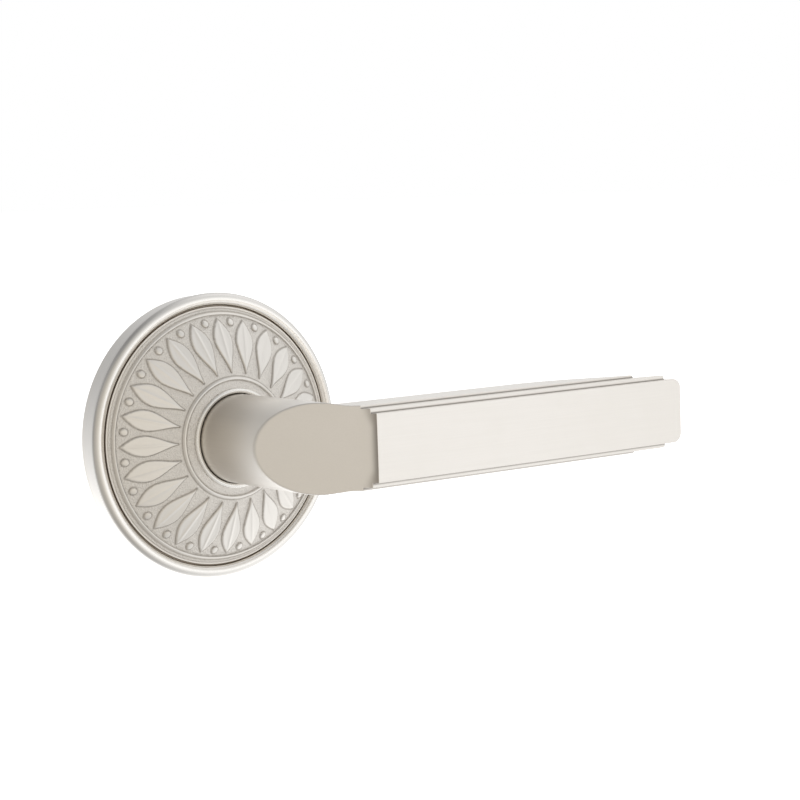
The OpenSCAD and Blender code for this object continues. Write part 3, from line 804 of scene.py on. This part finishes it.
collar_mat = metal("satin_nickel_collar", (0.88, 0.86, 0.82), 0.28, (0.25, 0.004), (20, 0.03), None, None, 0.97, 0.1)
zinc = metal("zinc_plate", (0.72, 0.735, 0.73), 0.30, (0.35, 0.006), (14, 0.08), ((0.80, 0.80, 0.79), 0.5), None, 0.86, 0.15,
             spots=((0.60, 0.63, 0.68), 9.0))
bright = metal("drawn_steel", (0.60, 0.60, 0.60), 0.28, (0.3, 0.006), (25, 0.05), ((0.78, 0.78, 0.78), 0.6),
               (2800.0, 60.0, 2800.0), 0.88, 0.15)
spring = metal("spring_steel", (0.40, 0.40, 0.42), 0.28, (0.3, 0.003), (8, 0.06), ((0.62, 0.62, 0.63), 0.5), None, 0.8, 0.08,
               spots=((0.30, 0.24, 0.20), 6.0))
bronze = metal("sintered_bronze", (0.71, 0.50, 0.25), 0.42, (0.22, 0.010), (10, 0.06), ((0.85, 0.66, 0.38), 0.6), None, 0.8, 0.12,
               spots=((0.36, 0.24, 0.12), 1.5))
black, plastic, cast = black_oxide(), nylon(), die_cast()
for name, mat in {
    "rosette_collar": collar_mat, "mounting_plate": zinc, "housing_screws": zinc, "through_bolts": zinc, "spindle": bright,
    "spindle_pin": bright, "stop_pins": bright, "wave_washer": spring, "return_spring": spring, "bolt_washers": spring,
    "rear_bushing": bronze, "lever_set_screw": black, "rosette_set_screw": black, "rotor_circlip": black,
    "neck_bushing": plastic, "thrust_washer": plastic, "spring_rotor": cast, "spring_housing": cast,
}.items():
    give(name, mat)


# ---------------------------------------------------------------- floor, light and camera
def studio(s, d):
    """Soft surround light: its level in direction d, from wide lobes solved so that each direction in LIGHTS has its level."""
    c = np.array([Vector(v).normalized() for v, _ in LIGHTS])
    k = np.exp(-SPREAD * (1 - c @ c.T))
    weight = np.linalg.solve(k + 0.02 * np.eye(len(c)), np.array([level - SURROUND for _, level in LIGHTS]))
    total = SURROUND
    for v, w in zip(c, weight):
        dot = s.vmath("DOT_PRODUCT", d, tuple(float(t) for t in v), 1)
        lobe = s.math("EXPONENT", s.math("MULTIPLY", s.math("SUBTRACT", dot, 1.0), SPREAD))
        total = s.math("ADD", s.math("MULTIPLY", lobe, float(w)), total)
    dot = s.vmath("DOT_PRODUCT", d, tuple(Vector(WARM).normalized()), 1)
    warm = s.mix(s.ramp(dot, 0.2, 0.95, 0.0, 1.0), (1.0, 1.0, 1.0, 1.0), (1.0, 0.945, 0.855, 1.0))
    return s.math("MAXIMUM", total, 0.02), warm


def stage():
    """A plain pale floor below the piece. It looks white to the camera and carries the surround's level on to the metal."""
    me = bpy.data.meshes.new("floor")
    n, z = 64, -0.105
    rings = [0.25, 0.6, 1.5, 4.0, 9.0]
    v = [(0.03, 0, z)]
    for r in rings:
        v += [(0.03 + r * math.cos(2 * math.pi * i / n), r * math.sin(2 * math.pi * i / n), z) for i in range(n)]
    f = [(0, 1 + i, 1 + (i + 1) % n) for i in range(n)]
    for k in range(len(rings) - 1):
        a, b = 1 + k * n, 1 + (k + 1) * n
        f += [(a + i, b + i, b + (i + 1) % n, a + (i + 1) % n) for i in range(n)]
    me.from_pydata(v, [], f)
    o = bpy.data.objects.new("floor", me)
    bpy.context.scene.collection.objects.link(o)
    s = Shader("pale_floor")
    tone = s.noise(6.0, 2.0)
    path = s.t.nodes.new("ShaderNodeLightPath").outputs["Is Camera Ray"]
    level, warm = studio(s, s.vmath("NORMALIZE", s.coord))
    pale = s.mix(tone, rgb((0.80, 0.80, 0.80)), rgb((0.84, 0.84, 0.84)))
    s.set(Base_Color=s.mix(path, rgb((0.12, 0.12, 0.12)), pale), Roughness=0.9, Specular_IOR_Level=0.0,
          Emission_Color=s.mix(path, warm, (1, 1, 1, 1)), Emission_Strength=s.lerp(path, s.math("MULTIPLY", level, 0.92), 0.9))
    me.materials.append(s.m)


def world():
    w = bpy.data.worlds.new("studio")
    bpy.context.scene.world = w
    w.use_nodes = True
    s = Shader.__new__(Shader)
    s.t = w.node_tree
    s.t.nodes.clear()
    out, bg = s.t.nodes.new("ShaderNodeOutputWorld"), s.t.nodes.new("ShaderNodeBackground")
    s.t.links.new(bg.outputs[0], out.inputs[0])
    level, warm = studio(s, s.vmath("NORMALIZE", s.t.nodes.new("ShaderNodeTexCoord").outputs["Generated"]))
    path = s.t.nodes.new("ShaderNodeLightPath").outputs["Is Camera Ray"]
    s.put(bg.inputs[0], s.mix(path, warm, (1, 1, 1, 1)))
    s.put(bg.inputs[1], s.lerp(path, level, 1.0))


# light levels by direction, as seen from the piece
LIGHTS = [
    ((0.605, -0.789, -0.10), 1.21),     # right front: lights the lever's front
    ((-0.79, -0.60, -0.10), 0.73),      # left front: the elbow's flat
    ((-0.18, -0.98, -0.10), 0.90),      # front
    ((0.99, -0.08, -0.10), 0.86),       # right
    ((0.60, -0.60, 0.52), 0.84),        # high right front
    ((0.60, -0.42, -0.68), 1.00),       # low right front
    ((-0.92, 0.38, -0.10), 0.50),       # left: the hollow at the end of the elbow's flat
    ((-0.605, 0.789, -0.10), 0.84),     # left rear: neck and rosette's wall
    ((-0.09, 0.79, 0.59), 0.52),        # high rear
    ((-0.07, 0.79, -0.61), 2.10),       # floor behind
    ((0.60, 0.10, -0.79), 1.55),        # floor below
    ((-0.42, -0.15, -0.89), 0.55),      # floor to the left
    ((-0.25, 0.0, 0.97), 0.38),         # overhead left: ledges that face up and left
    ((0.60, -0.10, 0.79), 1.20),        # overhead right: the bead's upper side
    ((0.605, 0.789, 0.10), 1.05),       # right rear: the grip's upper side
]
SURROUND, SPREAD = 0.78, 4.5
WARM = (-0.80, -0.55, -0.10)
stage()
world()

scene = bpy.context.scene
scene.view_settings.view_transform = "Standard"
scene.view_settings.look = "None"

az, el, roll = math.radians(-37.47), math.radians(5.93), math.radians(1.89)
back = Vector((math.sin(az) * math.cos(el), -math.cos(az) * math.cos(el), math.sin(el)))
right = Vector((math.cos(az), math.sin(az), 0))
up = back.cross(right)
x_axis = right * math.cos(roll) - up * math.sin(roll)
y_axis = up * math.cos(roll) + right * math.sin(roll)
cam = bpy.data.cameras.new("camera")
cam.sensor_width, cam.lens = 36.0, 2327.15 * 36.0 / 800.0
cam.clip_start, cam.clip_end = 0.01, 20
cam_obj = bpy.data.objects.new("camera", cam)
scene.collection.objects.link(cam_obj)
m = Matrix((x_axis, y_axis, back)).transposed().to_4x4()
m.translation = back * 0.59798 + Vector((0.06024, 0, 0.00274))
cam_obj.matrix_world = m
scene.camera = cam_obj

for o in list(bpy.data.objects):
    if o.type == "MESH":
        o.data.update()
bpy.context.view_layer.update()
